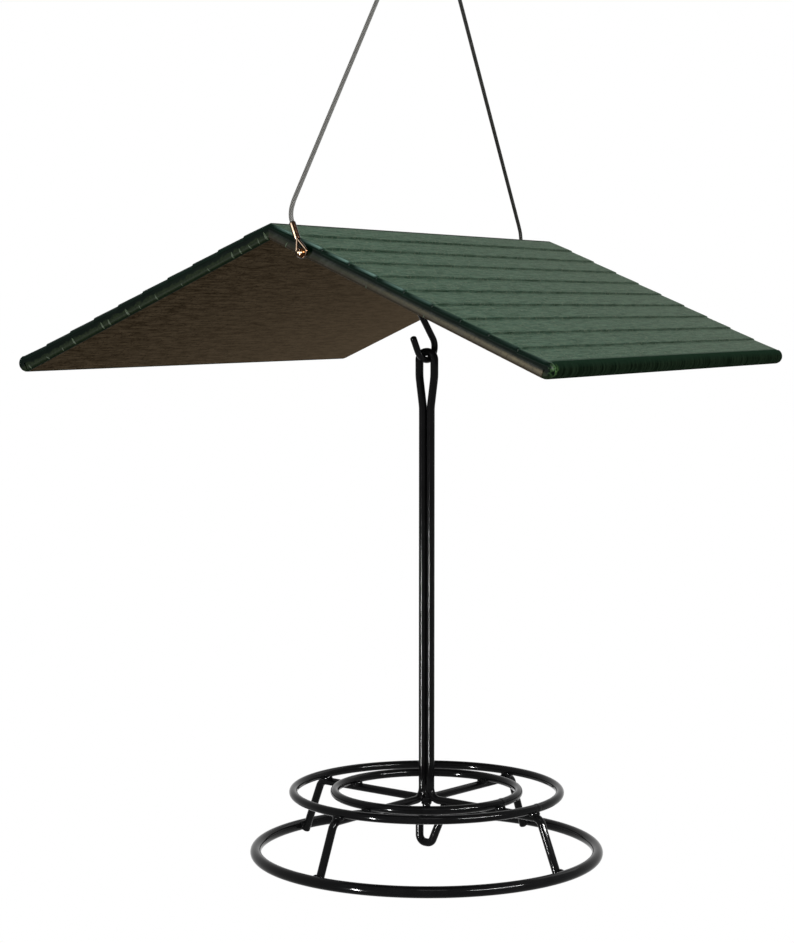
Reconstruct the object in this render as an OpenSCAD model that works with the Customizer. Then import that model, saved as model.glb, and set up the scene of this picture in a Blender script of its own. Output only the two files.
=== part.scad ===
// Hanging bird feeder: a gable roof on a cable bail, with a wire tray that swings on an S hook below it.
// Lengths are millimetres. The origin is where the cable bears on what it hangs from.
// The ridge runs along Y and the feeder hangs down along -Z.

/* [Roof] */
// Length of the roof along the ridge
ridge_len = 387; // [320:1:420]
// Depth of one panel down the slope, from the ridge to the eave
panel_depth = 183; // [150:1:210]
// Slope of each panel in degrees
roof_slope = 24.5; // [20:0.5:30]
// Thickness of the tan board under the cover
board_t = 5; // [4.5:0.5:8]
// Thickness of the green cover at the top of each course
cover_t = 3.2; // [2.5:0.1:5]
// How far each course stands above the next one
lap_step = 1.4; // [0.6:0.1:2]
// Number of lapped courses on each panel
courses = 10; // [6:1:12]

/* [Cable hanger] */
// Height of the hanging point above the ridge
hang_rise = 207; // [205:1:209]
// Diameter of the coated cable
cable_d = 2.5; // [1.8:0.1:2.8]
// Outside diameter of each crimped ferrule
ferrule_d = 3.6; // [3.4:0.1:4.2]
// Length of each ferrule
ferrule_len = 9.8; // [8:0.1:11]
// Diameter of the brass wire in each cable eye
eye_wire_d = 1.6; // [1.2:0.1:1.8]
// Clear opening of each cable eye
eye_bore = 4.2; // [3.6:0.1:4.8]
// Distance from the eye centre to the near end of the ferrule
eye_reach = 7; // [6:0.5:8]
// Lean of the front eye and ferrule toward the ridge, in degrees
front_lean = 20; // [16:1:24]
// Lean of the back eye and ferrule away from the ridge, in degrees
back_lean = 6; // [3:1:9]

/* [Cable screws] */
// Distance of each cable screw from the ridge line
cable_screw_x = 22; // [18:1:28]
// Shank diameter of the cable screws
cable_screw_d = 2.6; // [2:0.1:3]
// Depth of the cable screws in the board
cable_screw_depth = 16; // [10:1:24]
// Head diameter of the cable screws
cable_head_d = 5.6; // [5.2:0.1:7]
// Height of the cable screw heads
cable_head_h = 1.9; // [1.4:0.1:2.5]
// Gap between the gable face and the middle of the eye
eye_standoff = 3.2; // [3:0.1:5]

/* [Ridge bracket] */
// Length of the bracket along the ridge
bracket_len = 80; // [60:1:110]
// Length of each bracket leg down the slope
bracket_leg = 28; // [22:1:36]
// Half width of the flat crest of the bracket
crest_half = 8; // [6:0.5:10]
// Thickness of the bracket plate
plate_t = 2; // [1.5:0.1:3]
// Shank diameter of the bracket screws
bracket_screw_d = 3.6; // [3:0.1:4]
// Head diameter of the bracket screws
bracket_head_d = 7; // [6:0.5:8]
// Height of the bracket screw heads
bracket_head_h = 2.4; // [1.8:0.1:3]
// Depth of the bracket screws in the board
bracket_screw_bite = 4; // [3:0.1:4.2]
// Spacing of the bracket screws along the ridge
bracket_screw_pitch = 54; // [36:1:56]

/* [Ridge eye] */
// Wire diameter of the eye that carries the S hook
ridge_eye_d = 4; // [3:0.1:4.5]
// Clear opening of the ridge eye
ridge_eye_bore = 12; // [10:0.5:14]
// Drop from the bracket crest to the middle of the ridge eye
ridge_eye_drop = 18; // [14:0.5:22]
// Diameter of the peened head above the crest
peen_d = 6.4; // [5.5:0.1:7]
// Height of the peened head above the crest
peen_h = 1.2; // [0.8:0.1:1.4]

/* [S hook] */
// Wire diameter of the S hook
hook_d = 4.1; // [3.4:0.1:4.4]
// Overall length of the S hook
hook_len = 45; // [42:0.5:52]
// Centreline radius of the closed side of each hook bowl
hook_bowl_r = 8; // [7.5:0.1:9]
// Centreline radius where the lower bowl opens toward its tip
hook_mouth_r = 11; // [10:0.5:12]
// Length of the straight lower tip
hook_tip = 10; // [6:0.5:12]
// Turn of the hook's plane from the X axis, in degrees
hook_turn = 80; // [76:1:88]
// Running clearance where one wire hangs on another
wire_gap = 0.3; // [0.2:0.05:0.5]

/* [Seed post] */
// Wire diameter of the post, spokes and legs
tray_wire_d = 5; // [4.2:0.1:5.4]
// Gap between the two wires of the post
post_gap = 0.2; // [0.1:0.05:0.6]
// Height from the spokes to the top of the post loop
post_h = 277; // [220:1:330]
// Clear width of the post loop
post_loop_w = 5; // [4.9:0.05:6]
// Length of the parallel sides of the post loop
post_loop_side = 10; // [6:0.5:16]
// Length over which the loop closes down to the post
post_loop_close = 19; // [14:0.5:26]
// Bend radius at the foot of the post
foot_bend_r = 7; // [6:0.5:9]
// Turn of the post loop's plane from the X axis, in degrees
post_turn = 2; // [0:1:10]

/* [Tray] */
// Centreline radius of the outer tray ring
outer_ring_r = 82.6; // [75:0.2:84.6]
// Centreline radius of the inner tray ring
inner_ring_r = 57; // [48:0.2:64]
// Wire diameter of the two tray rings
ring_wire_d = 5.3; // [4.2:0.1:5.8]
// Centreline radius of the base ring
base_ring_r = 106; // [101:0.5:112]
// Wire diameter of the base ring
base_wire_d = 6.9; // [5.8:0.1:7.6]
// Height of the spokes above the middle of the base ring
leg_h = 32; // [28:0.2:40]
// Radius at which the spokes turn down into legs
leg_bend_at = 87; // [86:0.5:90]
// Bend radius of the legs
leg_bend_r = 6; // [5:0.5:8]
// Bend radius of the rear wire behind the post
hub_bend_r = 8; // [7:0.5:10]
// Turn of the front right spoke from the X axis, in degrees
spoke_turn = -13; // [-18:0.2:-10]
// Depth that welded wires sink into each other
weld_sink = 0.25; // [0.1:0.05:0.3]

/* [Bottom loop] */
// Height of the loop under the spokes
bottom_loop_h = 27.6; // [26:0.2:31]
// Centreline radius of the loop's round end
bottom_loop_r = 4.4; // [4.2:0.1:5.2]
// Distance along the front right spoke to the loop's outer end
bottom_loop_reach = 12; // [11.5:0.5:16]

/* [Hidden] */
$fn = 48;
panel_t = board_t + cover_t + lap_step;
eave_r = panel_t / 2;
under_v = -(board_t + cover_t);
course = (panel_depth - eave_r) / courses;
ridge_z = -hang_rise;
// Places on a panel: u runs down the slope from the ridge and v stands square to it
function panel_x(u, v) = u * cos(roof_slope) + v * sin(roof_slope);
function panel_z(u, v) = ridge_z - u * sin(roof_slope) + v * cos(roof_slope);
function u_at(x, v) = (x - v * sin(roof_slope)) / cos(roof_slope);

screw_v = -(cover_t + board_t / 2);
eye_z = panel_z(u_at(cable_screw_x, screw_v), screw_v);
eye_y = ridge_len / 2 + eye_standoff;
eye_r = (eye_bore + eye_wire_d) / 2;
// The eye rides up on the screw until its lower inside is a running gap from the shank
eye_lift = (eye_bore - cable_screw_d) / 2 - wire_gap;

crest_z = panel_z(u_at(crest_half, under_v), under_v);
bracket_screw_u = u_at(crest_half, under_v) + bracket_leg * 0.55;
ridge_eye_r = (ridge_eye_bore + ridge_eye_d) / 2;
ridge_eye_z = crest_z - plate_t - ridge_eye_drop;

hook_axis_z = ridge_eye_z - ridge_eye_r;
hook_top_z = hook_axis_z + ridge_eye_d / 2 + wire_gap + hook_d / 2;
hook_low_z = hook_top_z + hook_d - hook_len;
post_top_z = hook_low_z + hook_d / 2 + wire_gap + tray_wire_d / 2;
spoke_z = post_top_z - post_h;
base_z = spoke_z - leg_h;
ring_z = spoke_z + (tray_wire_d + ring_wire_d) / 2 - weld_sink;
loop_half = (post_loop_w + tray_wire_d) / 2;

// Centre of the cable, from inside each ferrule up to the hanging point. The back strand is drawn
// here before its half turn
cable_front = [
    [18.1, -196.7, -212], [17.1, -196.7, -209.4], [16.3, -196.7, -207], [15.6, -196.6, -203.9],
    [15.2, -195.6, -200.6], [14.8, -193.4, -197.4], [14.3, -190.4, -194.2],
    [7.6, -101, -100.4], [0.8, -11.4, -6.4], [0.5, -8.4, -3.2], [0.3, -5.8, -0.9], [0.1, -3, 0.6]];
cable_back = [
    [23.2, -196.7, -211.4], [23.5, -196.7, -208.8], [23.75, -196.7, -206.2], [23.9, -196.5, -203.4],
    [23.8, -195.4, -200.4], [23.6, -193.2, -197.3], [23.2, -190.4, -194.4],
    [12, -101, -100.5], [0.8, -11.4, -6.4], [0.5, -8.4, -3.2], [0.3, -5.8, -0.9], [0.1, -3, 0.6]];
cable_top = [[0, 0, 1.1]];

function unit(v) = v / norm(v);
function turned(a, r, z) = [r * cos(a), r * sin(a), z];
function side_axis(w) = unit(cross(abs(w.z) < 0.9 ? [0, 0, 1] : [1, 0, 0], w));

// Places children with local x, y and z along three square directions
module framed(at, ex, ey, ez) {
    multmatrix([[ex.x, ey.x, ez.x, at.x], [ex.y, ey.y, ez.y, at.y], [ex.z, ey.z, ez.z, at.z], [0, 0, 0, 1]])
        children();
}

module rod(from, to, d) {
    w = unit(to - from);
    u = side_axis(w);
    framed(from, u, cross(w, u), w) cylinder(h = norm(to - from), d = d);
}

// Corners of the straight-sided path that a bend of radius r follows round an arc
function arc_corners(centre, r, from, to, n, ex, ey) =
    [for (k = [0:n - 1])
        let (a = from + (k + 0.5) * (to - from) / n)
        centre + r / cos((to - from) / n / 2) * (cos(a) * ex + sin(a) * ey)];

// Round wire through points, with a true bend of the given radius at each inner point.
// Each bend is a hair thicker than the straights, which run a little way into it.
module wire(pts, bends, d) {
    into = 0.05;
    hair = 0.02;
    last = len(pts) - 1;
    dirs = [for (i = [0:last - 1]) unit(pts[i + 1] - pts[i])];
    turns = [for (i = [1:last - 1]) acos(max(-1, min(1, dirs[i - 1] * dirs[i])))];
    trims = [for (i = [0:last]) i == 0 || i == last ? 0 : bends[i - 1] * tan(turns[i - 1] / 2)];
    for (i = [0:last - 1])
        rod(pts[i] + dirs[i] * (trims[i] - (i == 0 ? 0 : into)),
            pts[i + 1] - dirs[i] * (trims[i + 1] - (i == last - 1 ? 0 : into)), d);
    for (i = [1:last - 1]) {
        a = dirs[i - 1];
        inward = unit(dirs[i] - (dirs[i] * a) * a);
        centre = pts[i] - a * trims[i] + inward * bends[i - 1];
        framed(centre, -inward, a, cross(a, inward))
            rotate_extrude(angle = turns[i - 1]) translate([bends[i - 1], 0]) circle(d = d + hair);
    }
}

module ring(r, d, z) {
    translate([0, 0, z]) rotate_extrude($fn = 96) translate([r, 0]) circle(d = d);
}

// Draws a panel outline in its own slope plane and runs it along the ridge
module along_ridge() {
    translate([0, ridge_len / 2, ridge_z]) rotate([90, 0, 0]) linear_extrude(ridge_len)
        rotate(-roof_slope) children();
}

// Lap profile on top, mitred at the ridge, with a round nose that wraps the eave
module cover_outline() {
    nose_u = panel_depth - eave_r;
    nose_v = under_v + eave_r;
    laps = [for (i = [0:courses - 1], end = [0, 1])
        end == 0 ? [i * course, 0] : [(i + 1) * course, lap_step]];
    nose = [for (a = [80:-10:-90]) [nose_u + eave_r * cos(a), nose_v + eave_r * sin(a)]];
    polygon(concat(laps, nose, [[nose_u, -cover_t], [u_at(0, -cover_t), -cover_t]]));
}

module board_outline() {
    nose_u = panel_depth - eave_r;
    polygon([[u_at(0, -cover_t), -cover_t], [nose_u, -cover_t],
             [nose_u, under_v], [u_at(0, under_v), under_v]]);
}

module cable_screw_bore() {
    translate([cable_screw_x, -ridge_len / 2 - 1, eye_z]) rotate([-90, 0, 0])
        cylinder(h = cable_screw_depth + 2, d = cable_screw_d + 0.1);
}

// Runs children at each bracket screw of the right panel, with z out of the panel's underside
module at_bracket_screws() {
    for (y = [-1, 1])
        translate([panel_x(bracket_screw_u, under_v), y * bracket_screw_pitch / 2,
                   panel_z(bracket_screw_u, under_v)])
            rotate([0, 180 + roof_slope, 0]) children();
}

module right_cover() {
    along_ridge() cover_outline();
}

module right_board() {
    difference() {
        along_ridge() board_outline();
        cable_screw_bore();
        at_bracket_screws() translate([0, 0, -bracket_screw_bite - 0.4])
            cylinder(h = bracket_screw_bite + 1, d = bracket_screw_d + 0.1);
    }
}

module cover_right() {
    color("#2f5d4a") right_cover();
}

module cover_left() {
    color("#24483a") rotate(180) right_cover();
}

module board_right() {
    color("#8a8266") right_board();
}

module board_left() {
    color("#6b5f4c") rotate(180) right_board();
}

// Outline of one leg of the bent plate, from the crest down the underside of the right panel
function bracket_leg_points() =
    let (bend_u = u_at(crest_half, under_v),
         low_v = under_v - plate_t,
         end_u = bend_u + bracket_leg,
         low_bend_u = (ridge_z + low_v * cos(roof_slope) - crest_z + plate_t) / sin(roof_slope))
    [[crest_half, crest_z],
     [panel_x(end_u, under_v), panel_z(end_u, under_v)],
     [panel_x(end_u, low_v), panel_z(end_u, low_v)],
     [panel_x(low_bend_u, low_v), crest_z - plate_t]];

module ridge_bracket() {
    leg = bracket_leg_points();
    color("#1c1c1d") difference() {
        translate([0, bracket_len / 2, 0]) rotate([90, 0, 0]) linear_extrude(bracket_len) polygon(
            concat(leg, [for (i = [len(leg) - 1:-1:0]) [-leg[i].x, leg[i].y]]));
        translate([0, 0, crest_z - plate_t - 1]) cylinder(h = plate_t + 2, d = ridge_eye_d + 0.1);
        for (turn = [0, 180]) rotate(turn) at_bracket_screws() translate([0, 0, -1])
            cylinder(h = plate_t + 2, d = bracket_screw_d + 0.3);
    }
}

module bracket_screws() {
    color("#2a2a2b") for (turn = [0, 180]) rotate(turn) at_bracket_screws() {
        translate([0, 0, -bracket_screw_bite])
            cylinder(h = bracket_screw_bite + plate_t + 0.5, d = bracket_screw_d);
        translate([0, 0, plate_t]) screw_head(bracket_head_d, bracket_head_h);
    }
}

// Low domed head with a cross recess
module screw_head(d, h) {
    dome_r = (d * d / 4 + h * h) / (2 * h);
    difference() {
        intersection() {
            cylinder(h = h, d = d);
            translate([0, 0, h - dome_r]) sphere(dome_r, $fn = 64);
        }
        for (a = [0, 90]) rotate(a) translate([-d * 0.28, -d * 0.06, h * 0.55])
            cube([d * 0.56, d * 0.12, h]);
    }
}

// Wire eye whose shank goes up through the bracket and is peened over its crest
module ridge_eye() {
    color("#242425") {
        translate([0, 0, ridge_eye_z]) rotate([90, 0, 0]) rotate_extrude($fn = 72)
            translate([ridge_eye_r, 0]) circle(d = ridge_eye_d);
        translate([0, 0, ridge_eye_z + ridge_eye_r])
            cylinder(h = crest_z + peen_h / 2 - ridge_eye_z - ridge_eye_r, d = ridge_eye_d);
        translate([0, 0, crest_z]) cylinder(h = peen_h, d1 = peen_d, d2 = peen_d * 0.7);
    }
}

module front_cable_screw() {
    reach = eye_standoff + eye_wire_d / 2 + 0.4;
    translate([cable_screw_x, -ridge_len / 2, eye_z]) rotate([90, 0, 0]) {
        translate([0, 0, -cable_screw_depth])
            cylinder(h = cable_screw_depth + reach + 0.5, d = cable_screw_d);
        translate([0, 0, reach]) screw_head(cable_head_d, cable_head_h);
    }
}

module cable_screw_front() {
    color("#b98a4a") front_cable_screw();
}

module cable_screw_back() {
    color("#b98a4a") rotate(180) front_cable_screw();
}

// Puts the eye centre at the origin, with local y up the ferrule and z toward the front
module at_front_eye(lean) {
    translate([cable_screw_x, -eye_y, eye_z + eye_lift]) rotate([90, 0, 0]) rotate(lean) children();
}

// Teardrop of brass wire: a round end on the screw and two tails that close into the ferrule
module cable_eye(lean) {
    apex = eye_reach + 0.6;
    half = asin(eye_r / apex);
    tail_end = eye_reach + 0.5;
    tail_x = (apex - tail_end) * tan(half);
    corners = arc_corners([0, 0, 0], eye_r, half, -180 - half, 3, [1, 0, 0], [0, 1, 0]);
    at_front_eye(lean) wire(concat([[tail_x, tail_end, 0]], corners, [[-tail_x, tail_end, 0]]),
                            [for (i = [0:2]) eye_r * 0.98], eye_wire_d);
}

module cable_eye_front() {
    color("#b07a45") cable_eye(front_lean);
}

module cable_eye_back() {
    color("#b07a45") rotate(180) cable_eye(-back_lean);
}

// Crimped tube, bored for the cable from above and for the eye's tails from below
module ferrule(lean) {
    at_front_eye(lean) translate([0, eye_reach, 0]) rotate([-90, 0, 0]) difference() {
        cylinder(h = ferrule_len, d = ferrule_d);
        translate([0, 0, 1.2]) cylinder(h = ferrule_len, d = cable_d + 0.2);
        translate([0, 0, -1]) cylinder(h = 2, d = eye_wire_d + 0.9);
    }
}

module ferrule_front() {
    color("#c8965a") ferrule(front_lean);
}

module ferrule_back() {
    color("#c8965a") rotate(180) ferrule(-back_lean);
}

// One tube through the cable's points, eight sides round
module hanger_cable() {
    route = concat(cable_front, cable_top,
        [for (i = [len(cable_back) - 1:-1:0]) [-cable_back[i].x, -cable_back[i].y, cable_back[i].z]]);
    last = len(route) - 1;
    sides = 8;
    rings = [for (i = [0:last])
        let (w = unit(route[min(i + 1, last)] - route[max(i - 1, 0)]),
             u = unit(cross([1, 0, 0], w)), v = cross(w, u))
        for (k = [0:sides - 1])
            route[i] + cable_d / 2 * (cos(360 * k / sides) * u + sin(360 * k / sides) * v)];
    walls = [for (i = [0:last - 1], k = [0:sides - 1])
        let (a = i * sides + k, b = i * sides + (k + 1) % sides)
        [a, a + sides, b + sides, b]];
    ends = [[for (k = [0:sides - 1]) k], [for (k = [sides - 1:-1:0]) last * sides + k]];
    color("#8d8f8c") polyhedron(points = rings, faces = concat(walls, ends));
}

// A point of the S hook before its turn: p runs along the hook's plane and h up
function hook_at(p, h) = [p, 0, h];

module s_hook() {
    r = hook_bowl_r;
    low = hook_low_z + r;
    high = hook_top_z - r;
    lean = asin(2 * r / (high - low));
    tip_turn = 30;
    p = hook_at(1, 0);
    up = [0, 0, 1];
    // The lower bowl opens on a wider arc and ends in a straight tip
    mouth = arc_corners(hook_at(0, hook_low_z + hook_mouth_r), hook_mouth_r, 180 + tip_turn, 270, 1, p, up);
    mouth_start = hook_at(-hook_mouth_r * cos(tip_turn), hook_low_z + hook_mouth_r * (1 - sin(tip_turn)));
    tip = mouth_start + hook_tip * hook_at(-sin(tip_turn), cos(tip_turn));
    lower = arc_corners(hook_at(0, low), r, -90, lean, 2, p, up);
    // The upper bowl goes over the ridge eye and ends in a short tip
    upper = arc_corners(hook_at(0, high), r, 180 + lean, -20, 3, p, up);
    upper_tip = hook_at(r * cos(20) - 2 * sin(20), high - r * sin(20) - 2 * cos(20));
    color("#161617") rotate(hook_turn) wire(concat([tip], mouth, lower, upper, [upper_tip]),
                                            [for (i = [0:5]) (i == 0 ? hook_mouth_r : r) * 0.98], hook_d);
}

// Lean that brings a leg from its bend to the inside of the base ring
leg_across = base_ring_r - leg_bend_at;
leg_touch = (base_wire_d + tray_wire_d) / 2 - weld_sink;
leg_lean = acos(leg_touch / norm([leg_across, leg_h])) - atan2(leg_h, leg_across);
// The square-cut foot ends level with the underside of the base ring
foot_drop = leg_h + base_wire_d / 2 - tray_wire_d / 2 * sin(leg_lean);
foot_r = leg_bend_at + foot_drop * tan(leg_lean);

function post_at(p, h) = [p * cos(post_turn), p * sin(post_turn), h];
function leg_bend(a) = turned(a, leg_bend_at, spoke_z);
function leg_foot(a) = turned(a, foot_r, spoke_z - foot_drop);

// One wire: front left leg, spoke, up the post, round its loop, and down to the front right leg
module post_wire() {
    half = (tray_wire_d + post_gap) / 2;
    shoulder_z = post_top_z - loop_half - post_loop_side;
    close_z = shoulder_z - post_loop_close;
    neck_r = 30;
    color("#141415") wire(
        [leg_foot(spoke_turn - 90), leg_bend(spoke_turn - 90), post_at(-half, spoke_z),
         post_at(-half, close_z), post_at(-loop_half, shoulder_z), post_at(-loop_half, post_top_z),
         post_at(loop_half, post_top_z), post_at(loop_half, shoulder_z), post_at(half, close_z),
         post_at(half, spoke_z), leg_bend(spoke_turn), leg_foot(spoke_turn)],
        [leg_bend_r, foot_bend_r, neck_r, neck_r, loop_half * 0.98,
         loop_half * 0.98, neck_r, neck_r, foot_bend_r, leg_bend_r], tray_wire_d);
}

// One wire: rear left leg, spoke, round the back of the post, and the rear right spoke and leg
module rear_leg_wire() {
    color("#141415") wire(
        [leg_foot(spoke_turn + 180), leg_bend(spoke_turn + 180), [0, 0, spoke_z],
         leg_bend(spoke_turn + 90), leg_foot(spoke_turn + 90)],
        [leg_bend_r, hub_bend_r, leg_bend_r], tray_wire_d);
}

module outer_tray_ring() {
    color("#141415") ring(outer_ring_r, ring_wire_d, ring_z);
}

module inner_tray_ring() {
    color("#141415") ring(inner_ring_r, ring_wire_d, ring_z);
}

module base_ring() {
    color("#141415") ring(base_ring_r, base_wire_d, base_z);
}

// Hook loop under the tray: one end under the post, the other under the front right spoke
module bottom_loop() {
    outer = post_at((tray_wire_d + post_gap) / 2, 0) + turned(spoke_turn, bottom_loop_reach, 0);
    reach = norm(outer);
    low_z = spoke_z - bottom_loop_h;
    near_z = spoke_z - tray_wire_d / 2 + weld_sink;
    r = bottom_loop_r;
    near_x = -0.9 - r;
    arm_lean = 66;
    end_z = near_z - tray_wire_d / 2 * cos(arm_lean);
    color("#141415") rotate(atan2(outer.y, outer.x)) wire(
        [[0, 0, near_z], [0, 0, near_z - 4], [near_x, 0, near_z - 11], [near_x, 0, low_z],
         [reach - (end_z - low_z) / tan(arm_lean), 0, low_z], [reach, 0, end_z]],
        [6, 6, r, r], tray_wire_d);
}

cover_right();
cover_left();
board_right();
board_left();
ridge_bracket();
bracket_screws();
ridge_eye();
cable_screw_front();
cable_screw_back();
hanger_cable();
ferrule_front();
ferrule_back();
cable_eye_front();
cable_eye_back();
s_hook();
post_wire();
rear_leg_wire();
outer_tray_ring();
inner_tray_ring();
base_ring();
bottom_loop();
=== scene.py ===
import math

import bmesh
import bpy
from mathutils import Matrix, Vector


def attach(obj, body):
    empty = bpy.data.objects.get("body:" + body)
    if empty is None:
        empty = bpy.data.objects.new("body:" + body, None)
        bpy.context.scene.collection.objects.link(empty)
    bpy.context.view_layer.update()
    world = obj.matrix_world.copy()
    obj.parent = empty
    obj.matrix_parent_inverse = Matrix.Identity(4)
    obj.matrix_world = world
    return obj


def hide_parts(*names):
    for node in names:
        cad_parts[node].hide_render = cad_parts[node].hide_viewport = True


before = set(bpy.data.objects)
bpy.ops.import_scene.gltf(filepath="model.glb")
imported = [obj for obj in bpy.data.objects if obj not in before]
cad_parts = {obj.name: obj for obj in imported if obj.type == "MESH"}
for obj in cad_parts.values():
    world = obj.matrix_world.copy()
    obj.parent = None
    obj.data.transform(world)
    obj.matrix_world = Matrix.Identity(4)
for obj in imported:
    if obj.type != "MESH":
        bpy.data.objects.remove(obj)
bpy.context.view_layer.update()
print("frame loaded")

mm = 0.001


def point(x, y, z):
    return Vector((x * mm, y * mm, z * mm))


# camera

cameraView = {
    "azimuth": 26.019, "distance": 1410.94, "height": -252.86, "pitch": 4.052, "yaw": 0.744,
    "focalPixels": 2300, "imageHeight": 943, "sensor": 36}


def makeCamera():
    around = math.radians(cameraView["azimuth"])
    heading = around + math.radians(cameraView["yaw"])
    down = math.radians(cameraView["pitch"])
    lens = bpy.data.cameras.new("photoCamera")
    lens.sensor_width = cameraView["sensor"]
    lens.lens = cameraView["sensor"] * cameraView["focalPixels"] / cameraView["imageHeight"]
    lens.clip_start = 0.05
    lens.clip_end = 60
    camera = bpy.data.objects.new("photoCamera", lens)
    bpy.context.collection.objects.link(camera)
    away = cameraView["distance"]
    camera.location = point(away * math.sin(around), -away * math.cos(around), cameraView["height"])
    look = Vector((-math.sin(heading) * math.cos(down), math.cos(heading) * math.cos(down), -math.sin(down)))
    camera.rotation_euler = look.to_track_quat("-Z", "Y").to_euler()
    bpy.context.scene.camera = camera


makeCamera()
print("camera ready")


# roof sizes, which its materials need too

roof = {
    "length": 387, "depth": 183, "slope": 24.5, "ridgeZ": -207, "board": 5, "cover": 3.2, "lap": 1.4,
    "courses": 10, "lipRound": 0.35, "endRound": 3.0, "endDraw": 2.5, "boardRound": 2.3, "roundSteps": 8,
    "softEnd": 7, "softSteps": 5, "softShare": 0.4, "pieces": 12}
slope = math.radians(roof["slope"])
noseRadius = (roof["board"] + roof["cover"] + roof["lap"]) / 2
underV = -(roof["board"] + roof["cover"])
noseU = roof["depth"] - noseRadius


# shader helpers

def srgb(r, g, b):
    return tuple(((c / 255 + 0.055) / 1.055) ** 2.4 if c > 10 else c / 255 / 12.92 for c in (r, g, b)) + (1,)


class Graph:
    # the nodes of one material or one node group
    def __init__(self, tree):
        self.nodes = tree.nodes
        self.links = tree.links

    def feed(self, socket, value):
        if isinstance(value, bpy.types.NodeSocket):
            self.links.new(value, socket)
        else:
            socket.default_value = value

    def make(self, kind, inputs=(), operation=None):
        node = self.nodes.new("ShaderNode" + kind)
        if operation:
            node.operation = operation
        for key, value in dict(inputs).items():
            self.feed(node.inputs[key], value)
        return node.outputs

    def math(self, operation, first, second=0.0):
        return self.make("Math", {0: first, 1: second}, operation)[0]

    def add(self, first, second):
        return self.math("ADD", first, second)

    def times(self, first, second):
        return self.math("MULTIPLY", first, second)

    def blend(self, share, first, second, mode="MIX"):
        node = self.nodes.new("ShaderNodeMix")
        node.data_type = "RGBA"
        node.blend_type = mode
        for key, value in ((0, share), (6, first), (7, second)):
            self.feed(node.inputs[key], value)
        return node.outputs[2]

    def spread(self, value, fromLow, fromHigh, toLow=0.0, toHigh=1.0):
        return self.make("MapRange", {0: value, 1: fromLow, 2: fromHigh, 3: toLow, 4: toHigh})[0]

    def tint(self, color, value, look, part):
        # blends toward one colour of a look, over that colour's own span
        return self.blend(self.spread(value, *look[part + "Span"]), color, look[part])

    def noise(self, spot, scale, detail):
        return self.make("TexNoise", {"Vector": spot, "Scale": scale, "Detail": detail})[0]

    def spot(self):
        return self.make("TexCoord")["Object"]

    def axis(self, name, kind="Object"):
        return self.make("SeparateXYZ", {0: self.make("TexCoord")[kind]})[name]

    def facingRidge(self):
        # how far a spot faces along the ridge: 0 on the roof's top, 1 on its end
        return self.math("ABSOLUTE", self.axis("Y", "Normal"))

    def backward(self):
        # place along the ridge in millimetres, from the front gable toward the back
        return self.times(self.axis("Y"), 1 / mm)

    def place(self, group, **values):
        node = self.nodes.new("ShaderNodeGroup")
        node.node_tree = group
        for key, value in values.items():
            node.inputs[key].default_value = value
        return node.outputs

    def surface(self, color, roughness, height, look):
        shader = self.nodes["Principled BSDF"].inputs
        self.feed(shader["Base Color"], color)
        self.feed(shader["Roughness"], roughness)
        shader["Specular IOR Level"].default_value = look.get("specular", 0.5)
        shader["Metallic"].default_value = look.get("metallic", 0)
        strength, distance = look["bump"]
        bump = self.make("Bump", {"Strength": strength, "Distance": distance, "Height": height})
        self.links.new(bump[0], shader["Normal"])


def newMaterial(name):
    material = bpy.data.materials.new(name)
    material.use_nodes = True
    return material, Graph(material.node_tree)


def startGroup(name, **inputs):
    group = bpy.data.node_groups.new(name, "ShaderNodeTree")
    for key, value in inputs.items():
        socket = group.interface.new_socket(key, in_out="INPUT", socket_type="NodeSocketFloat")
        socket.default_value = value
    graph = Graph(group)
    return group, graph, graph.nodes.new("NodeGroupInput").outputs


def endGroup(group, graph, **results):
    for key in results:
        group.interface.new_socket(key, in_out="OUTPUT", socket_type="NodeSocketFloat")
    ends = graph.nodes.new("NodeGroupOutput").inputs
    for key, value in results.items():
        graph.links.new(value, ends[key])
    return group


# looks

# a bump is its strength and its height in metres; a span says from where to where an effect runs, and
# between which shares if these aren't 0 and 1; a noise is its scale and detail
grainLook = {
    "streaks": (0.55, 4), "streaksSpan": (0.36, 0.64), "hairs": (1.7, 2), "hairsSpan": (0.34, 0.66),
    "specks": (620, 1), "specksSpan": (0.58, 0.72), "streaksShare": 0.6}
peelLook = {"rippleDetail": 1.5, "haze": (45, 5), "hazeSpan": (0.42, 0.7)}
# near-black green of the roof ends: partly their dark skin, partly painted shade
endGreenWithPaintedShade = srgb(1, 15, 7)
# painted shade where the cover turns down over the eave
eaveShadeGreen = srgb(30, 50, 37)
# far is a painted sheen, greyer toward the back
coverTopLook = {
    "along": 110.0, "across": 1100.0, "seed": 3.0, "dark": srgb(34, 67, 49), "light": srgb(84, 111, 93),
    "hair": srgb(98, 113, 95), "hairAmount": 0.55, "speck": srgb(120, 132, 112), "speckAmount": 0.6,
    "roughness": (0.6, 0.8), "specular": 0.02, "bump": (0.6, 0.0004), "ridge": srgb(26, 34, 24),
    "ridgeSpan": (2.6, 1.2), "eave": eaveShadeGreen, "eaveSpan": (160.6, 162.7), "far": srgb(98, 106, 92),
    "farSpan": (-150, 190, 0.0, 0.3)}
# the nose's colours are a darker copy of the top's green: painted shade where the cover turns down
coverNoseLook = {
    "along": 900.0, "across": 70.0, "seed": 11.0, "dark": srgb(5, 13, 7), "light": srgb(37, 50, 37),
    "hair": srgb(34, 52, 35), "hairAmount": 0.4, "speck": srgb(6, 12, 6), "speckAmount": 0.4,
    "roughness": (0.6, 0.8), "specular": 0.0, "bump": (0.4, 0.0004), "upper": eaveShadeGreen,
    "upperSpan": (-1.2, 1.4), "low": srgb(20, 13, 6), "lowSpan": (-6.4, -7.4)}
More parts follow.
